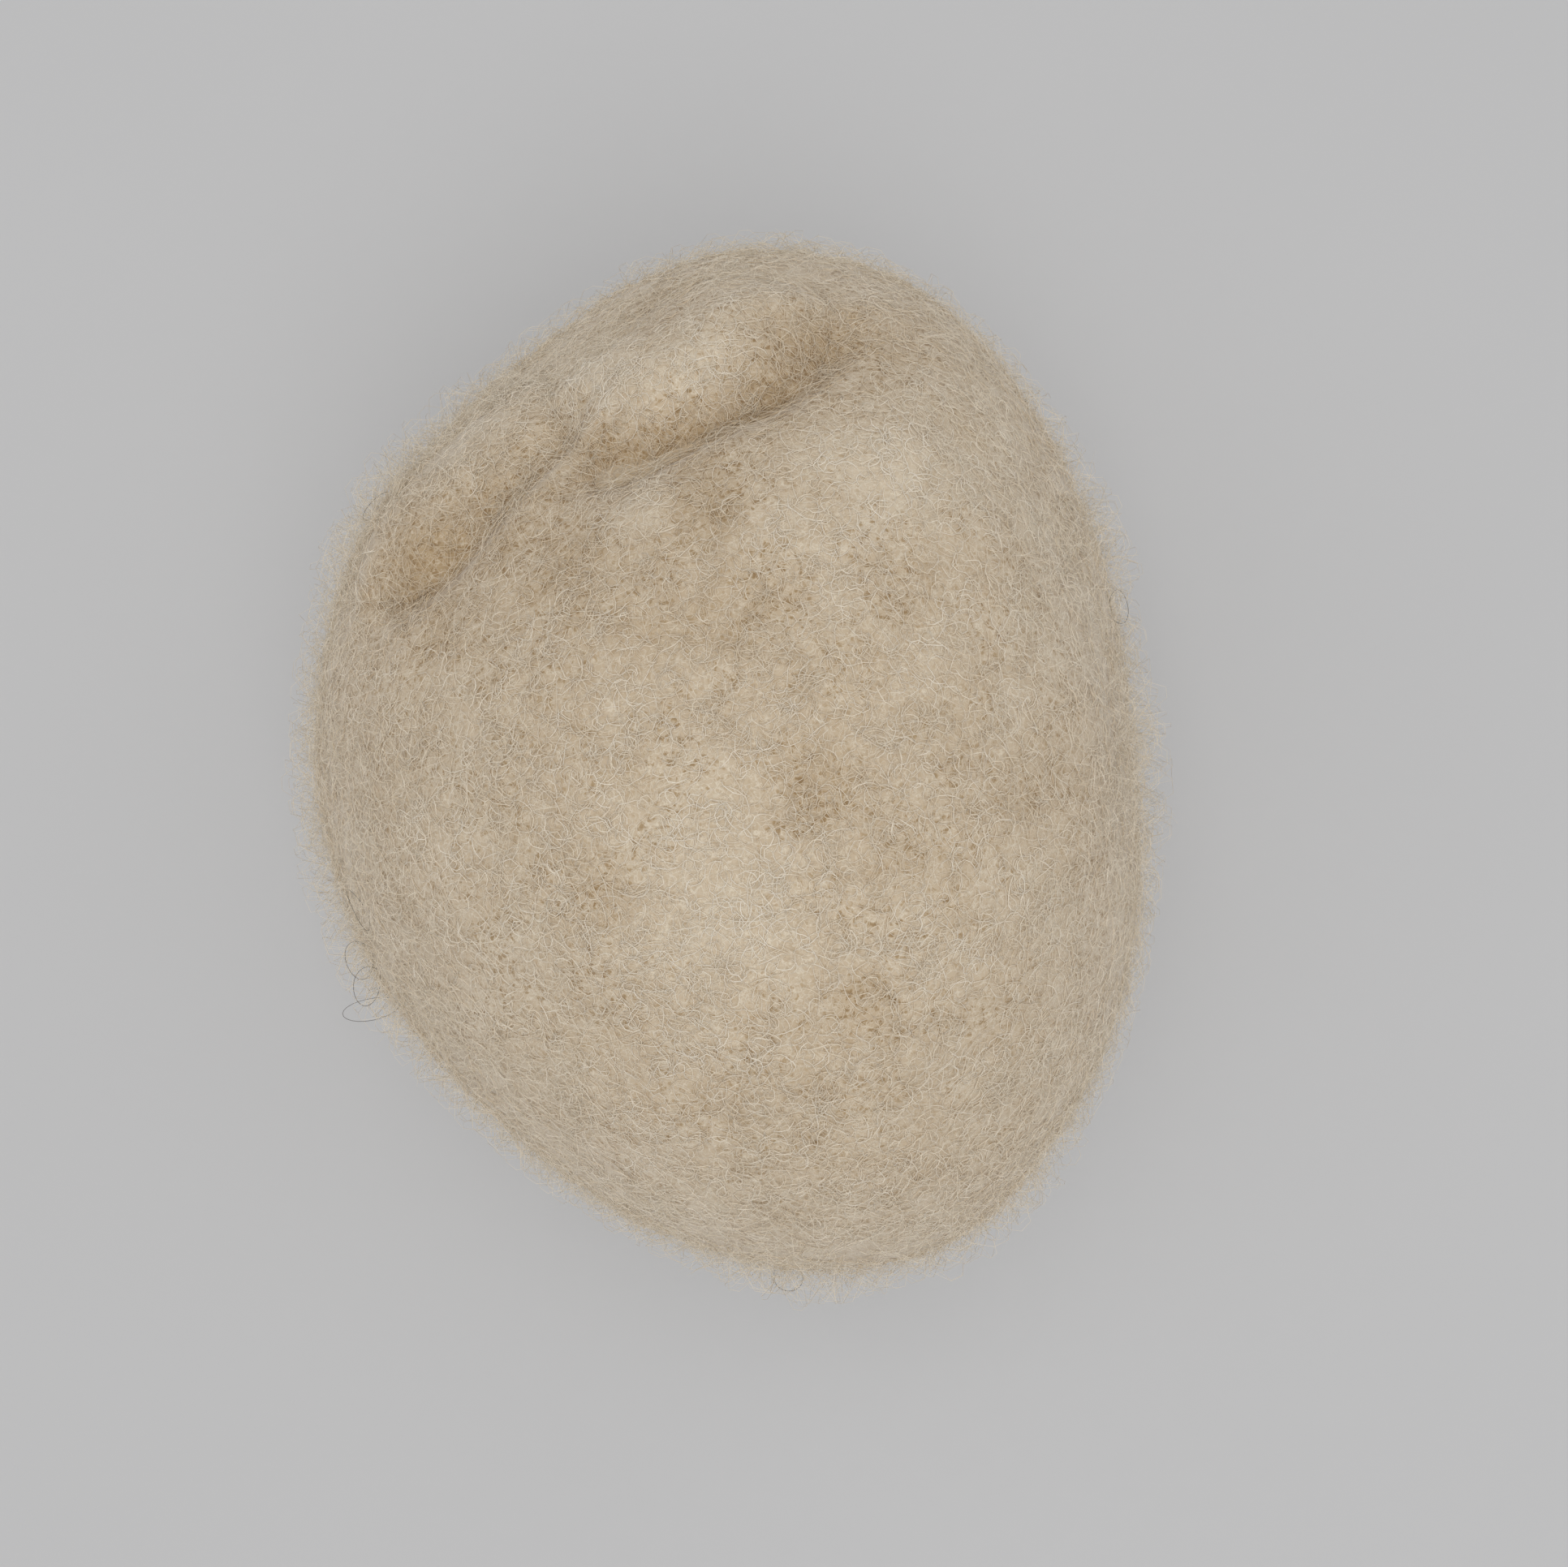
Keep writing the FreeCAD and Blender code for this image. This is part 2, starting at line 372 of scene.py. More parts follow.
# %% Plumping a tuft
SIMULATION_SCALE = 20
SIMULATION_FRAMES = 14
AIR_PRESSURE = 4
PLUMPING_CAP = 0.35 * MM  # no point moves farther than this
TUFT_LUMPS = 0.4  # the tuft's lumps, against the cover's
TUFT_SMOOTHING = 0.5


def resized(piece, scale):
    """Scales the mesh itself, so that the object stays unscaled."""
    piece.data.transform(Matrix.Scale(scale, 4))


def blow_up(tuft):
    """A short cloth simulation with air pressure inside and no gravity, kept close to where it began."""
    resized(tuft, SIMULATION_SCALE)
    start = [vert.co.copy() for vert in tuft.data.vertices]
    cloth = tuft.modifiers.new("springy wool", "CLOTH")
    cloth.settings.use_pressure = True
    cloth.settings.uniform_pressure_force = AIR_PRESSURE
    cloth.settings.effector_weights.gravity = 0
    cloth.settings.quality = 5
    cloth.settings.vertex_group_mass = UNDERSIDE
    cloth.point_cache.frame_end = SIMULATION_FRAMES
    for step in range(1, SIMULATION_FRAMES + 1):
        bpy.context.scene.frame_set(step)
    shaped = tuft.evaluated_get(bpy.context.evaluated_depsgraph_get())
    mesh = bpy.data.meshes.new_from_object(shaped)
    tuft.modifiers.clear()
    tuft.data = mesh
    bpy.context.scene.frame_set(1)
    longest = PLUMPING_CAP * SIMULATION_SCALE
    for vert, place in zip(tuft.data.vertices, start):
        move = vert.co - place
        vert.co = place + move * min(1.0, longest / max(longest, move.length))
    resized(tuft, 1 / SIMULATION_SCALE)


def closing_wisp(wisp, rise, node_name):
    """One wisp, laid on the cover, plumped and roughened with the felt's own noise."""
    tuft = laid_tuft(wisp, rise, node_name + "_tuft")
    blow_up(tuft)
    shape = bmesh.new()
    shape.from_mesh(tuft.data)
    clump_layer = shape.verts.layers.float.new("clump")
    matted_and_crease_shade_layer = shape.verts.layers.float.new("matted")
    for vert in shape.verts:
        vert[clump_layer] = clump_at(vert.co)
        # the matted value also carries painted shade in the crease
        vert[matted_and_crease_shade_layer] = matted_and_crease_shade_at(vert.co)
        if vert.normal.dot(wisp.outwards) > 0:
            vert.co += vert.normal * TUFT_LUMPS * lump_height(vert.co)
    smoothed(shape, TUFT_SMOOTHING)
    shape.to_mesh(tuft.data)
    shape.free()
    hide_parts(node_name)
    print(tuft.name, len(tuft.data.polygons), "faces")
    return tuft


LEFT_RISE = 1.5 * MM
RIGHT_RISE = 2.1 * MM
left_wisp, right_wisp = wisps
wisp_pieces = [
    closing_wisp(left_wisp, LEFT_RISE, "closing_wisp_left"),
    closing_wisp(right_wisp, RIGHT_RISE, "closing_wisp_right"),
]

# %% [markdown]
# ## The fibres
# Wool fibres are crimped: each one wanders in small arcs and loops. A hair system could draw them, but its
# hairs are lost when the model is exported, so each fibre here is a real thin tube. It creeps over the felt
# in short steps, turning a little at each, and rises and falls as it goes. A three-sided section is enough
# for something thinner than a tenth of a millimetre.

# %% The felt's outermost surface
felt_tree = tree_of(felted_cover, *wisp_pieces)
patches = []
area_so_far = 0.0
area_sums = []
for piece in [felted_cover] + wisp_pieces:
    for polygon in piece.data.polygons:
        patches.append([piece.data.vertices[corner].co.copy() for corner in polygon.vertices])
        area_so_far += polygon.area
        area_sums.append(area_so_far)
print("felt surface", round(area_so_far / MM**2), "mm2,", len(patches), "faces")


# %% Choosing where a fibre starts
UNDERSIDE_SHARE = 0.35  # fewer fibres stay loose underneath, where they are pressed down
UNDERSIDE_FACING = -0.5  # how far down the felt faces there
PIT_SHARE = 0.3  # fibres in a pit, against those on a clump
MATTED_LOSS = 0.4  # how much of the loose fibre is missing where the wool is fully matted
REST_CLEARANCE = 0.3 * MM  # no fibre starts nearer the rest plane than this
CLEAR_OF_FELT = 6 * MM
BURIED = 0.3 * MM  # a spot deeper than this lies under a wisp, where no fibre shows
PRESSED_HEIGHT = 5 * MM  # below this height the ball's own weight presses the fibres flat
# The loosest sides: the angle round the ball from +X, and how far to either side of it, in degrees
FLUFFY_SIDES = ((0, 14), (30, 12), (145, 20), (205, 34), (279, 9), (302, 10))


def fluff_at(point):
    """From 0 to 1 on the sides where the wool stands out farthest."""
    angle = math.degrees(math.atan2(point.y - ball_middle.y, point.x - ball_middle.x))
    most = 0.0
    for side, reach in FLUFFY_SIDES:
        away = (angle - side + 180) % 360 - 180
        most = max(most, math.exp(-((away / reach) ** 2)))
    return most


def outermost_felt(point):
    """The outermost felt on the line from the ball's middle through a point, and which way it faces."""
    direction = (point - ball_middle).normalized()
    hit, normal, _, _ = felt_tree.ray_cast(point + direction * CLEAR_OF_FELT, -direction)
    return (hit, normal) if hit is not None else felt_tree.find_nearest(point)[:2]


def random_start(dice, kind):
    """A random spot on the outermost felt, likelier on a fluffy clump than in a pit."""
    while True:
        corners = dice.choices(patches, cum_weights=area_sums)[0]
        weights = [dice.random() for _ in corners]
        spot = sum((corner * weight for corner, weight in zip(corners, weights)), Vector()) / sum(weights)
        hit, normal = outermost_felt(spot)
        if (hit - spot).length > BURIED or hit.z < ball_low.z + REST_CLEARANCE:
            continue
        upward = max(0.0, normal.z)
        keep = upward * kind["on_top"] + (1 - upward) * kind["on_sides"]
        keep *= (PIT_SHARE + (1 - PIT_SHARE) * clump_at(hit)) * (1 - MATTED_LOSS * max(0.0, matted_at(hit)))
        if normal.z < UNDERSIDE_FACING:
            keep *= UNDERSIDE_SHARE
        if dice.random() < keep:
            return hit, normal


# %% One fibre's path
LEAST_FLUFF, MORE_FLUFF = 0.7, 0.6  # how high fibres rise on a plain side, and how much more on a fluffy one
MATTED_PRESS = 0.5  # how much lower they stay where the wool is matted
SLOW_RISE = 1.4  # above 1, a free end lifts late, near its tip


def fibre_path(dice, kind):
    """Points from root to tip. kind gives the steps, their length, the turning and the rise."""
    spot, normal = random_start(dice, kind)
    heading = normal.orthogonal().normalized()
    heading.rotate(Matrix.Rotation(dice.uniform(0, 2 * math.pi), 3, normal))
    bend = math.radians(dice.uniform(*kind["bend"])) * dice.choice((-1, 1))
    fluff = LEAST_FLUFF + MORE_FLUFF * fluff_at(spot)
    rise = kind["rise"] * dice.uniform(0.3, 1.0) ** 2 * fluff
    rise *= 1 - MATTED_PRESS * max(0.0, matted_at(spot))
    rise *= min(1.0, (spot.z - ball_low.z) / PRESSED_HEIGHT)
    base = kind["base"] * dice.random()
    free_end = dice.random() < kind["free_ends"]
    step = kind["step"] * dice.uniform(0.75, 1.25)
    steps = kind["steps"]
    points = []
    for i in range(steps + 1):
        share = i / steps
        swell = share**SLOW_RISE if free_end else math.sin(math.pi * share)
        points.append(spot + normal * (base + rise * swell))
        heading.rotate(Matrix.Rotation(bend + math.radians(dice.gauss(0, kind["wobble"])), 3, normal))
        heading = (heading - normal * heading.dot(normal)).normalized()
        spot, normal = outermost_felt(spot + heading * step)
        if dice.random() < kind["turn_back"]:
            bend = -bend
    for point in points:
        point.z = max(point.z, ball_low.z + kind["radius"])
    return points


# %% Drawing a bundle of fibres
TIP_SHARE = 0.35  # how thick a tip is, against the rest of the fibre
SECTION_SIDES = 3
WELD = 0.0005 * MM


def fibre_section(radius):
    """The three-sided section that the fibres are swept with."""
    section = bpy.data.curves.new("fibre_section", "CURVE")
    spline = section.splines.new("POLY")
    spline.points.add(SECTION_SIDES - 1)
    spline.use_cyclic_u = True
    for i, point in enumerate(spline.points):
        angle = 2 * math.pi * i / SECTION_SIDES
        point.co = (radius * math.cos(angle), radius * math.sin(angle), 0, 1)
    return bpy.data.objects.new("fibre_section", section)


def mark_fibres(mesh, name, paths, value_of):
    """Keeps one value per fibre on its points: first the caps, last fibre first, and then the sweeps."""
    marks = [value_of(path) for path in paths]
    values = [mark for mark in reversed(marks) for _ in range(2 * SECTION_SIDES)]
    values += [mark for mark, path in zip(marks, paths) for _ in range(SECTION_SIDES * len(path))]
    mesh.attributes.new(name, "FLOAT", "POINT").data.foreach_set("value", values)


def close_ends(mesh):
    """Joins the caps to the sweeps, so that each fibre is one closed shape that faces outwards."""
    shape = bmesh.new()
    shape.from_mesh(mesh)
    bmesh.ops.remove_doubles(shape, verts=shape.verts, dist=WELD)
    bmesh.ops.recalc_face_normals(shape, faces=shape.faces)
    shape.to_mesh(mesh)
    shape.free()


def fibre_bundle(name, paths, radius):
    """Sweeps the section along every path, thinner towards the tips, and keeps the result as one mesh."""
    section = fibre_section(radius)
    curve = bpy.data.curves.new(name, "CURVE")
    curve.dimensions = "3D"
    curve.bevel_mode = "OBJECT"
    curve.bevel_object = section
    curve.use_fill_caps = True
    for path in paths:
        spline = curve.splines.new("POLY")
        spline.points.add(len(path) - 1)
        last = len(path) - 1
        for i, (point, place) in enumerate(zip(spline.points, path)):
            point.co = (*place, 1)
            point.radius = TIP_SHARE if i in (0, last) else 1.0
    drawing = bpy.data.objects.new(name + "_drawing", curve)
    bpy.context.scene.collection.objects.link(drawing)
    swept = drawing.evaluated_get(bpy.context.evaluated_depsgraph_get())
    mesh = bpy.data.meshes.new_from_object(swept)
    bpy.data.objects.remove(drawing)
    bpy.data.objects.remove(section)
    tones = random.Random(name)
    mark_fibres(mesh, "tone", paths, lambda path: tones.random())
    # a fibre's matted value also carries painted shade where it starts in the crease
    mark_fibres(mesh, "matted", paths, lambda path: matted_and_crease_shade_at(path[0]))
    close_ends(mesh)
    bundle = bpy.data.objects.new(name, mesh)
    bpy.context.scene.collection.objects.link(bundle)
    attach(bundle, "root")
    triangles = sum(len(polygon.vertices) - 2 for polygon in mesh.polygons)
    print(name, len(paths), "fibres,", triangles, "triangles")
    return bundle


# %% [markdown]
# ## Three kinds of fibre
# Three kinds of fibre make the felt. Ground fibres lie flat and are matted together. Curls loop up out of
# them and catch the light. The halo is sparse and stands farthest out, which blurs the ball's outline.

# %% The three kinds of fibre
GROUND = {"steps": 5, "step": 0.54 * MM, "bend": (8, 46), "wobble": 14, "turn_back": 0.15, "rise": 0.25 * MM,
          "base": 0.06 * MM, "free_ends": 0.1, "radius": 0.029 * MM, "on_top": 1.0, "on_sides": 0.4}
CURLS = {"steps": 5, "step": 0.4 * MM, "bend": (14, 60), "wobble": 16, "turn_back": 0.12, "rise": 0.55 * MM,
         "base": 0.1 * MM, "free_ends": 0.25, "radius": 0.026 * MM, "on_top": 1.0, "on_sides": 0.35}
HALO = {"steps": 5, "step": 0.9 * MM, "bend": (6, 40), "wobble": 13, "turn_back": 0.15, "rise": 2.6 * MM,
        "base": 0.1 * MM, "free_ends": 0.15, "radius": 0.0135 * MM, "on_top": 0.12, "on_sides": 1.0}
BUNDLES = (
    # kind, bundles, fibres in each, material slot
    ("ground_fibres", GROUND, 1, 6100, "cover_wool"),
    ("curl_fibres", CURLS, 3, 6100, "cover_wool"),
    ("halo_fibres", HALO, 3, 6100, "wisp_wool"),
)

dice = random.Random(20)
fibre_pieces = {name: [] for name, *_ in BUNDLES}
for kind_name, kind, bundles, fibres, slot_name in BUNDLES:
    for number in range(1, bundles + 1):
        paths = [fibre_path(dice, kind) for _ in range(fibres)]
        piece = fibre_bundle(f"{kind_name}_{number}", paths, kind["radius"])
        fibre_pieces[kind_name].append(piece)

# %% [markdown]
# ## Stray hairs
# A few darker, coarser hairs come with every fleece, and some hang out of the ball in loops. Each one is a
# single loop that leaves the felt and comes back to it. Its place is given by the angle round the ball and
# the height above the table.

# %% Stray hairs
HAIR_RADIUS = 0.022 * MM
HAIR_STEPS = 22
SAG = 0.5  # how far a loop wanders up and down, in mm
STRAY_HAIRS = (
    # angle round the ball and height, then how far out it reaches, how wide it is and how far it leans, in mm
    (217, 33, 4.2, 1.8, -1.6),
    (212, 36, 2.6, 2.4, 1.2),
    (209, 38, 2.2, 2.8, 0.6),
    (204, 42, 1.0, 3.2, -0.8),
    (143, 40, 1.6, 2.6, 0.8),
    (277, 33, 2.6, 2.2, 0.8),
    (20, 38, 1.6, 2.4, 0.8),
)


def stray_hair(angle, height, reach, width, lean):
    """The points of one loop."""
    outwards = Vector((math.cos(math.radians(angle)), math.sin(math.radians(angle)), 0))
    level = Vector((ball_middle.x, ball_middle.y, ball_low.z + height * MM))
    root, normal, _, _ = felt_tree.ray_cast(level + outwards * ball_size.y, -outwards)
    sideways = Vector((-outwards.y, outwards.x, 0))
    points = []
    for i in range(HAIR_STEPS + 1):
        turn = 2 * math.pi * i / HAIR_STEPS
        out = reach * (1 - math.cos(turn)) / 2
        side = width * math.sin(turn) / 2 + lean * math.sin(turn / 2) ** 2
        drop = SAG * math.sin(1.5 * turn)
        points.append(root + (normal * out + sideways * side + Vector((0, 0, drop))) * MM)
    return points


hair_paths = [stray_hair(*place) for place in STRAY_HAIRS]
stray_hairs = fibre_bundle("stray_hairs", hair_paths, HAIR_RADIUS)


# %% [markdown]
# ## The colours of wool
# Undyed wool is cream where it is loose and fluffy and tan where it is matted. Where it is deep, in the pits
# and gaps between the fibres and in the crease, the wool is painted darker as shade. So each material mixes
# cream and tan by noise of a few sizes, in the piece's own coordinates. The body needs one thing more: real
# felt shows a web of fibre on fibre, far finer than can be modelled. The thin lines where a smooth noise
# crosses its middle value wander just as crimped fibres do, so a few webs of such lines, laid over one
# another, paint the finest fibres and raise them in the bump.

# %% Small helpers for building materials
class Finish:
    """A material under construction, with one short method for each kind of node that the ball needs."""

    def __init__(self, name):
        self.material = bpy.data.materials.new(name)
        self.material.use_nodes = True
        self.nodes = self.material.node_tree.nodes
        self.links = self.material.node_tree.links
        self.shader = self.nodes["Principled BSDF"]
        self.place = self.nodes.new("ShaderNodeTexCoord").outputs["Object"]

    def patches(self, width, shift=0.0, detail=2.0):
        """Soft noise whose patches are about this wide."""
        mapping = self.nodes.new("ShaderNodeMapping")
        mapping.inputs["Location"].default_value = (shift, 2 * shift, -shift)
        self.links.new(self.place, mapping.inputs["Vector"])
        texture = self.nodes.new("ShaderNodeTexNoise")
        texture.inputs["Scale"].default_value = 1 / width
        texture.inputs["Detail"].default_value = detail
        self.links.new(mapping.outputs["Vector"], texture.inputs["Vector"])
        return texture.outputs["Fac"]

    def sum(self, *terms, start=0.0):
        """start plus each value times its weight."""
        total = None
        for value, weight in terms:
            node = self.nodes.new("ShaderNodeMath")
            node.operation = "MULTIPLY_ADD"
            self.links.new(value, node.inputs[0])
            node.inputs[1].default_value = weight
            if total is None:
                node.inputs[2].default_value = start
            else:
                self.links.new(total, node.inputs[2])
            total = node.outputs[0]
        return total

    def ramp(self, value, *stops):
        """A colour for each value: stops are (value, (r, g, b))."""
        node = self.nodes.new("ShaderNodeValToRGB")
        self.links.new(value, node.inputs["Fac"])
        elements = node.color_ramp.elements
        while len(elements) < len(stops):
            elements.new(0.5)
        for element, (at, colour) in zip(elements, stops):
            element.position = at
            element.color = (*colour, 1)
        return node.outputs["Color"]

    def web(self, width, thickness, shift):
        """Thin wandering lines: 1 on a fibre and 0 between them."""
        lines = self.patches(width, shift, detail=1.5)
        centred = self.nodes.new("ShaderNodeMath")
        centred.operation = "SUBTRACT"
        centred.inputs[1].default_value = 0.5
        self.links.new(lines, centred.inputs[0])
        distance = self.nodes.new("ShaderNodeMath")
        distance.operation = "ABSOLUTE"
        self.links.new(centred.outputs[0], distance.inputs[0])
        line = self.nodes.new("ShaderNodeMapRange")
        line.interpolation_type = "SMOOTHSTEP"
        line.inputs["From Min"].default_value = 0.0
        line.inputs["From Max"].default_value = thickness
        line.inputs["To Min"].default_value = 1.0
        line.inputs["To Max"].default_value = 0.0
        self.links.new(distance.outputs[0], line.inputs["Value"])
        return line.outputs["Result"]

    def attribute(self, name):
        """A value kept on the mesh's points."""
        node = self.nodes.new("ShaderNodeAttribute")
        node.attribute_name = name
        return node.outputs["Fac"]

    def above(self, value, low, high):
        """0 where the value is under low, 1 where it is over high, and smooth between."""
        node = self.nodes.new("ShaderNodeMapRange")
        node.interpolation_type = "SMOOTHSTEP"
        node.inputs["From Min"].default_value = low
        node.inputs["From Max"].default_value = high
        self.links.new(value, node.inputs["Value"])
        return node.outputs["Result"]

    def product(self, first, second):
        """Two values multiplied."""
        node = self.nodes.new("ShaderNodeMath")
        node.operation = "MULTIPLY"
        self.links.new(first, node.inputs[0])
        self.links.new(second, node.inputs[1])
        return node.outputs[0]

    def highest(self, first, *others):
        """The greatest of several values."""
        for other in others:
            node = self.nodes.new("ShaderNodeMath")
            node.operation = "MAXIMUM"
            self.links.new(first, node.inputs[0])
            self.links.new(other, node.inputs[1])
            first = node.outputs[0]
        return first

    def colour(self, value):
        """Gives the finish its colour."""
        self.links.new(value, self.shader.inputs["Base Color"])

    def bump(self, height, strength, distance):
        """Raises the surface by a height value, without changing its shape."""
        node = self.nodes.new("ShaderNodeBump")
        node.inputs["Strength"].default_value = strength
        node.inputs["Distance"].default_value = distance
        self.links.new(height, node.inputs["Height"])
        self.links.new(node.outputs["Normal"], self.shader.inputs["Normal"])

    def roughness(self, value, low, high):
        """From the low roughness where the value is 0 to the high one where it is 1."""
        node = self.nodes.new("ShaderNodeMapRange")
        node.inputs["To Min"].default_value = low
        node.inputs["To Max"].default_value = high
        self.links.new(value, node.inputs["Value"])
        self.links.new(node.outputs["Result"], self.shader.inputs["Roughness"])

    def sheen(self, weight):
        """The soft glow of loose fibre ends seen against the light."""
        self.shader.inputs["Sheen Weight"].default_value = weight

    def put_on(self, *pieces):
        """Makes this the only finish of each piece."""
        for piece in pieces:
            piece.data.materials.clear()
            piece.data.materials.append(self.material)


# %% The wool's colours
PALE = (0.74, 0.65, 0.51)
CREAM = (0.65, 0.55, 0.415)
WOOL = (0.56, 0.45, 0.315)
TAN = (0.45, 0.33, 0.195)
# the darkest body colour is painted shade in the pits and gaps; the core wool uses it as its own dark tan
PIT_SHADE_AND_CORE_TAN = (0.33, 0.22, 0.11)
PALE_FIBRE = (0.97, 0.90, 0.78)
FIBRE = (0.88, 0.775, 0.62)
TAN_FIBRE = (0.70, 0.555, 0.37)
HAZE = (0.81, 0.725, 0.59)
DARK_HAIR = (0.10, 0.085, 0.07)
GREY_HAIR = (0.22, 0.20, 0.18)


def wool_patches(wool):
    """Cream and tan patches as wide as a thumbnail, a pea and a grain of rice, the matted places and painted
    crease shade.
    """
    return wool.sum(
        (wool.patches(15 * MM, 0.11), 0.5),
        (wool.patches(5 * MM, 0.23), 0.5),
        (wool.patches(1.4 * MM, 0.37), 0.35),
        # darker where matted, and painted shade in the crease
        (wool.attribute("matted"), -0.55),
        start=-0.175,
    )


# %% The body's material
def body_wool():
    """Matted felt: painted shade in the pits and gaps, cream on the clumps, with a web of the finest fibres
    over it.
    """
    wool = Finish("matted wool")
    clump = wool.attribute("clump")
    web = wool.highest(
        wool.web(1.0 * MM, 0.016, 0.5),
        wool.web(0.8 * MM, 0.02, 1.7),
        wool.web(0.65 * MM, 0.022, 2.9),
        wool.web(0.5 * MM, 0.026, 3.3),
    )
    # the pores, and the gaps where they cluster, are painted shade between the fibres; the matted value, with
    # its painted crease shade, gathers them
    clusters = wool.sum((wool.patches(4 * MM, 4.1), 1.0), (wool.attribute("matted"), 0.2))
    pore_shade = wool.above(wool.patches(0.42 * MM, 7.7), 0.5, 0.66)
    gap_shade = wool.product(wool.above(clusters, 0.36, 0.7), pore_shade)
    # a low clump value, the pores and the gaps darken the felt: painted shade in its pits
    shade = wool.sum(
        (wool_patches(wool), 0.45),
        (clump, 0.08),
        (web, 0.36),
        (pore_shade, -0.14),
        (gap_shade, -0.45),
        (wool.product(gap_shade, web), 0.4),
        start=0.32,
    )
    wool.colour(wool.ramp(shade, (0.0, PIT_SHADE_AND_CORE_TAN), (0.3, TAN), (0.55, WOOL), (0.8, CREAM), (1.0, PALE)))
    height = wool.sum((web, 0.6), (wool.patches(0.6 * MM, 3.1, 4.0), 0.8))
    wool.bump(height, 0.3, 0.2 * MM)
    wool.roughness(web, 0.95, 0.8)
    wool.sheen(0.45)
    return wool


body_wool().put_on(felted_cover, *wisp_pieces)


# %% The fibres' materials
def fibre_wool(name, stops, sheen_weight):
    """Loose fibre: the body's patches, with each fibre lighter or darker than the next by its tone."""
    wool = Finish(name)
    shade = wool.sum((wool_patches(wool), 0.7), (wool.attribute("tone"), 0.5), start=-0.1)
    wool.colour(wool.ramp(shade, *stops))
    wool.roughness(wool.patches(0.8 * MM, 5.3), 0.55, 0.85)
    wool.bump(wool.patches(0.08 * MM, 6.1), 0.2, 0.01 * MM)
    wool.sheen(sheen_weight)
    return wool


fibre_colours = ((0.1, TAN_FIBRE), (0.5, FIBRE), (0.9, PALE_FIBRE))
fibre_wool("ground fibre", fibre_colours, 0.3).put_on(*fibre_pieces["ground_fibres"])
fibre_wool("curled fibre", fibre_colours, 0.4).put_on(*fibre_pieces["curl_fibres"])
fibre_wool("halo fibre", ((0.1, FIBRE), (0.9, HAZE)), 0.1).put_on(*fibre_pieces["halo_fibres"])
fibre_wool("stray hair", ((0.1, DARK_HAIR), (0.9, GREY_HAIR)), 0.05).put_on(stray_hairs)


# %% [markdown]
# ## The wool inside
# Under the cover the wraps are packed tight and have never been rubbed, so they have no pits and no loose
# fibres. They show only when the ball is taken apart, but each still needs a finish of its own: paler near
# the cover, and darker at the core, which is rolled from coarser wool. The designed solids stay as they are
# and take these materials by the slot that the record gives each of them.

# %% The inner wraps
def inner_wool(name, light, dark):
    """Dense felt under the cover, seen only when the ball is taken apart."""
    wool = Finish(name)
    web = wool.highest(wool.web(0.9 * MM, 0.04, 0.9), wool.web(0.7 * MM, 0.05, 2.3))
    shade = wool.sum((wool_patches(wool), 0.6), (web, 0.3), start=0.05)
    wool.colour(wool.ramp(shade, (0.1, dark), (0.9, light)))
    wool.bump(wool.sum((web, 0.6), (wool.patches(0.6 * MM, 3.1, 4.0), 0.8)), 0.6, 0.2 * MM)
    wool.roughness(web, 0.95, 0.8)
    wool.sheen(0.2)
    return wool


inner_materials = {
    "cover_wool": inner_wool("under-cover wool", CREAM, TAN),
    "inner_wool": inner_wool("first-stage wool", WOOL, TAN),
    "core_wool": inner_wool("core wool", WOOL, PIT_SHADE_AND_CORE_TAN),
}
for part in frame["record"]["subparts"]:
    node = frame["nodes"][part["node"]]
    if part["material_slot"] in inner_materials:
        inner_materials[part["material_slot"]].put_on(node)
        print(part["node"], "is made of", part["material_slot"])

# %% [markdown]
# ## The table, the light and the camera
# The ball lies on a plain pale table, under soft light from straight above and a little from the near side.
# The camera looks straight down from a hand's breadth, so the crown looks bigger than the waist.

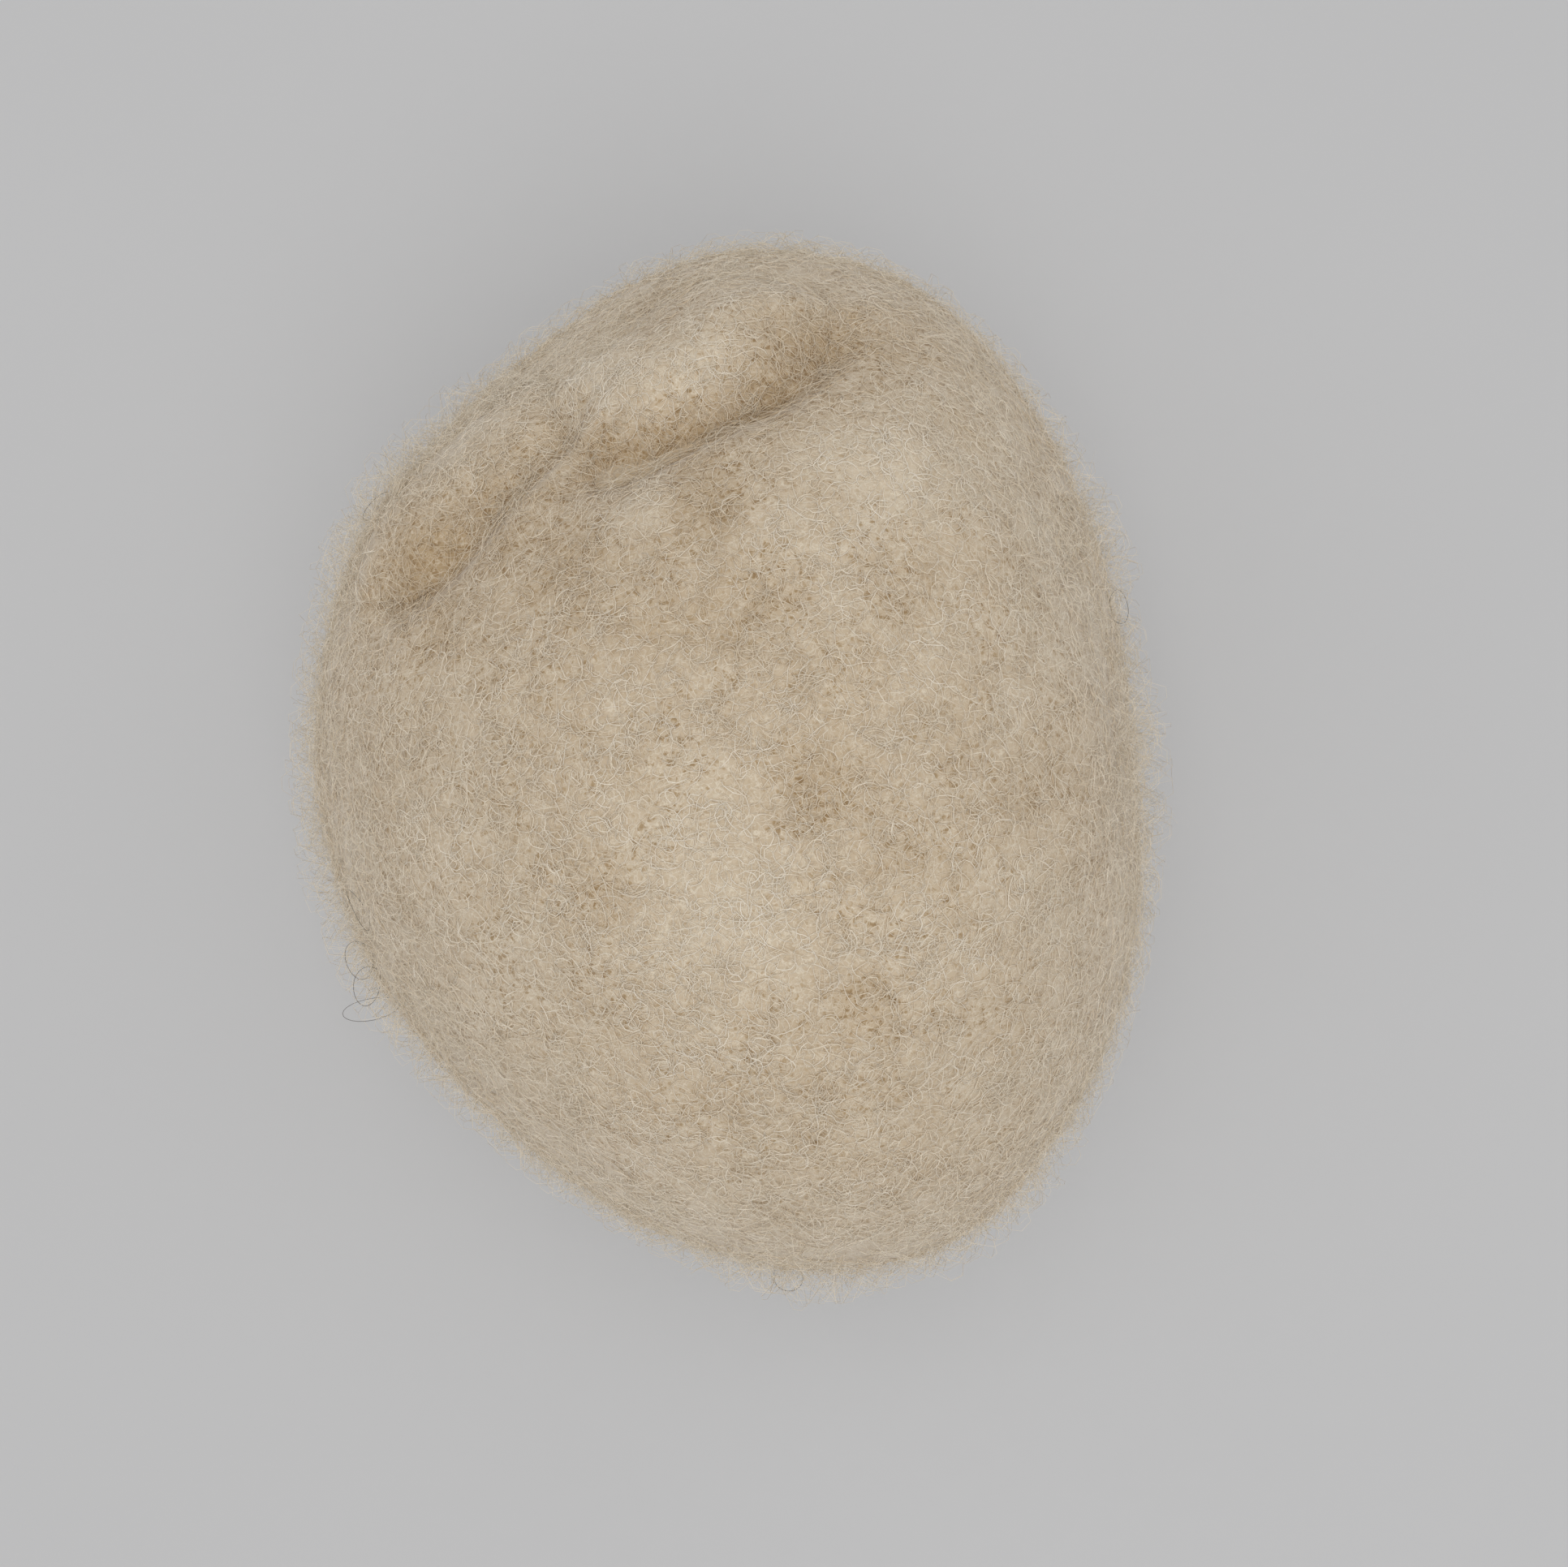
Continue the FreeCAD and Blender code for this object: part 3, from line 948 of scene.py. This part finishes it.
# %% The table
TABLE_SIZE = 3.0
TABLE_GREYS = ((0.0, (0.53, 0.53, 0.535)), (1.0, (0.55, 0.55, 0.555)))
table_shape = bmesh.new()
bmesh.ops.create_grid(table_shape, x_segments=1, y_segments=1, size=TABLE_SIZE / 2)
table_mesh = bpy.data.meshes.new("table")
table_shape.to_mesh(table_mesh)
table_shape.free()
table = bpy.data.objects.new("table", table_mesh)
bpy.context.scene.collection.objects.link(table)
table_paint = Finish("pale table")
table_paint.colour(table_paint.ramp(table_paint.patches(60 * MM), *TABLE_GREYS))
table_paint.roughness(table_paint.patches(3 * MM), 0.5, 0.6)
table_paint.put_on(table)


# %% The light
LAMP_PLACE = (0.02, -0.08, 0.9)
LAMP_WIDTH = 0.6
LAMP_DEPTH = 1.3
LAMP_POWER = 3.7
ROOM_GLOW = 0.6


def soft_lamp(name, place, aim, width, depth, power):
    """A rectangle of soft white light at a place, aimed at a point."""
    lamp_data = bpy.data.lights.new(name, "AREA")
    lamp_data.shape = "RECTANGLE"
    lamp_data.size = width
    lamp_data.size_y = depth
    lamp_data.energy = power
    lamp = bpy.data.objects.new(name, lamp_data)
    lamp.location = place
    lamp.rotation_euler = (Vector(aim) - Vector(place)).to_track_quat("-Z", "Y").to_euler()
    bpy.context.scene.collection.objects.link(lamp)


soft_lamp("ceiling_light", LAMP_PLACE, ball_middle, LAMP_WIDTH, LAMP_DEPTH, LAMP_POWER)

world = bpy.data.worlds.new("soft room")
world.use_nodes = True
world.node_tree.nodes["Background"].inputs["Color"].default_value = (1.0, 1.0, 1.0, 1)
world.node_tree.nodes["Background"].inputs["Strength"].default_value = ROOM_GLOW
bpy.context.scene.world = world
bpy.context.scene.view_settings.view_transform = "Standard"

# %% The camera
CAMERA_FROM_MIDDLE = Vector((4.6 * MM, -2.0 * MM, 0.135))
FILM_WIDTH = 36  # in mm, as cameras give it
FOCAL_LENGTH = 39.7
camera_data = bpy.data.cameras.new("camera")
camera_data.sensor_width = FILM_WIDTH
camera_data.lens = FOCAL_LENGTH
camera_data.clip_start = 5 * MM  # the ball is nearer than the usual 100 mm
camera = bpy.data.objects.new("camera", camera_data)
camera.location = ball_middle + CAMERA_FROM_MIDDLE
bpy.context.scene.collection.objects.link(camera)
bpy.context.scene.camera = camera
